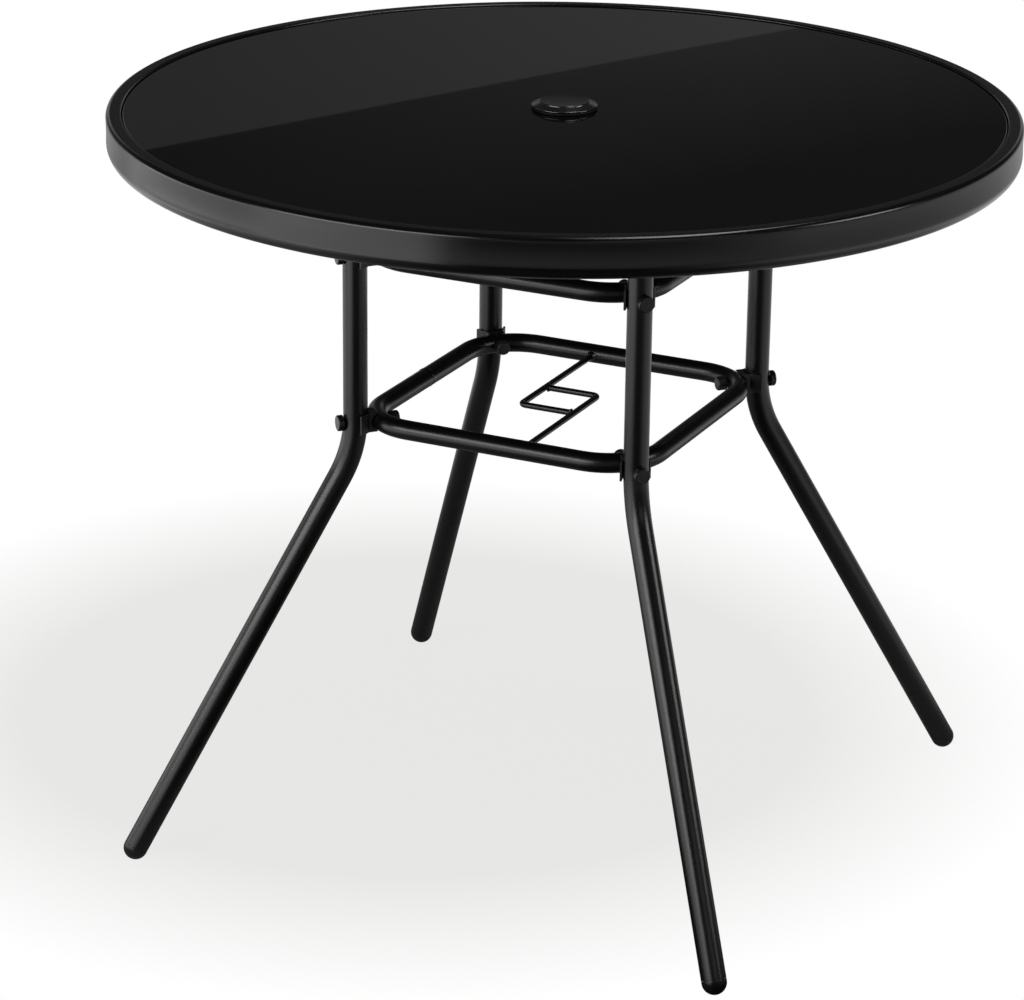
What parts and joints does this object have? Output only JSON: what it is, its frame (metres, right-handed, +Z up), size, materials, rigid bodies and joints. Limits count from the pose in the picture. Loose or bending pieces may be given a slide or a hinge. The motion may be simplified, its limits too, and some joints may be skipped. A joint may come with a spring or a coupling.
{
  "type": "umbrella table",
  "caption": "Round patio table with a black glass top in a steel rim, a capped umbrella hole, bent tube legs, tube loops between them and a rod guide for the umbrella pole.",
  "frame": {"origin": "On the floor under the middle of the top, level with the flats of the feet.", "axes": "+Z up. X and Y run along the sides of the two square loops, with a leg outside each corner, and X along the cross rails under the glass."},
  "size_m": [0.8636, 0.8636, 0.7284],
  "materials": {
    "painted_steel": "satin black powder coat",
    "black_glass": "polished opaque black tempered glass",
    "black_plastic": "moulded black plastic",
    "blackened_steel": "blackened steel",
    "soft_vinyl": "clear grey vinyl"
  },
  "bodies": {
    "table": {"tabletop_rim": "painted_steel", "glass_top": "black_glass", "umbrella_ring": "black_plastic", "upper_loop": "painted_steel", "lower_loop": "painted_steel", "cross_rail_back": "painted_steel", "cross_rail_front": "painted_steel", "pole_guide_rod_back": "painted_steel", "pole_guide_rod_front": "painted_steel", "glass_pad_back_left": "soft_vinyl", "glass_pad_back_right": "soft_vinyl", "glass_pad_front_left": "soft_vinyl", "glass_pad_front_right": "soft_vinyl", "leg_back_right": "painted_steel", "leg_back_left": "painted_steel", "leg_front_left": "painted_steel", "leg_front_right": "painted_steel", "foot_back_right": "black_plastic", "foot_back_left": "black_plastic", "foot_front_left": "black_plastic", "foot_front_right": "black_plastic", "top_plug_back_right": "black_plastic", "top_plug_back_left": "black_plastic", "top_plug_front_left": "black_plastic", "top_plug_front_right": "black_plastic", "top_bolt_back_right": "blackened_steel", "top_bolt_back_left": "blackened_steel", "top_bolt_front_left": "blackened_steel", "top_bolt_front_right": "blackened_steel", "saddle_upper_back_right": "black_plastic", "saddle_upper_back_left": "black_plastic", "saddle_upper_front_left": "black_plastic", "saddle_upper_front_right": "black_plastic", "saddle_lower_back_right": "black_plastic", "saddle_lower_back_left": "black_plastic", "saddle_lower_front_left": "black_plastic", "saddle_lower_front_right": "black_plastic", "bolt_upper_back_right": "blackened_steel", "bolt_upper_back_left": "blackened_steel", "bolt_upper_front_left": "blackened_steel", "bolt_upper_front_right": "blackened_steel", "bolt_lower_back_right": "blackened_steel", "bolt_lower_back_left": "blackened_steel", "bolt_lower_front_left": "blackened_steel", "bolt_lower_front_right": "blackened_steel", "nut_upper_back_right": "black_plastic", "nut_upper_back_left": "black_plastic", "nut_upper_front_left": "black_plastic", "nut_upper_front_right": "black_plastic", "nut_lower_back_right": "black_plastic", "nut_lower_back_left": "black_plastic", "nut_lower_front_left": "black_plastic", "nut_lower_front_right": "black_plastic"},
    "cap": {"umbrella_cap": "black_plastic"}
  },
  "joints": [
    {"name": "cap_lift", "type": "slide", "parent": "table", "child": "cap", "axis": [0, 0, 1], "range_m": [0, 0.04]}
  ]
}
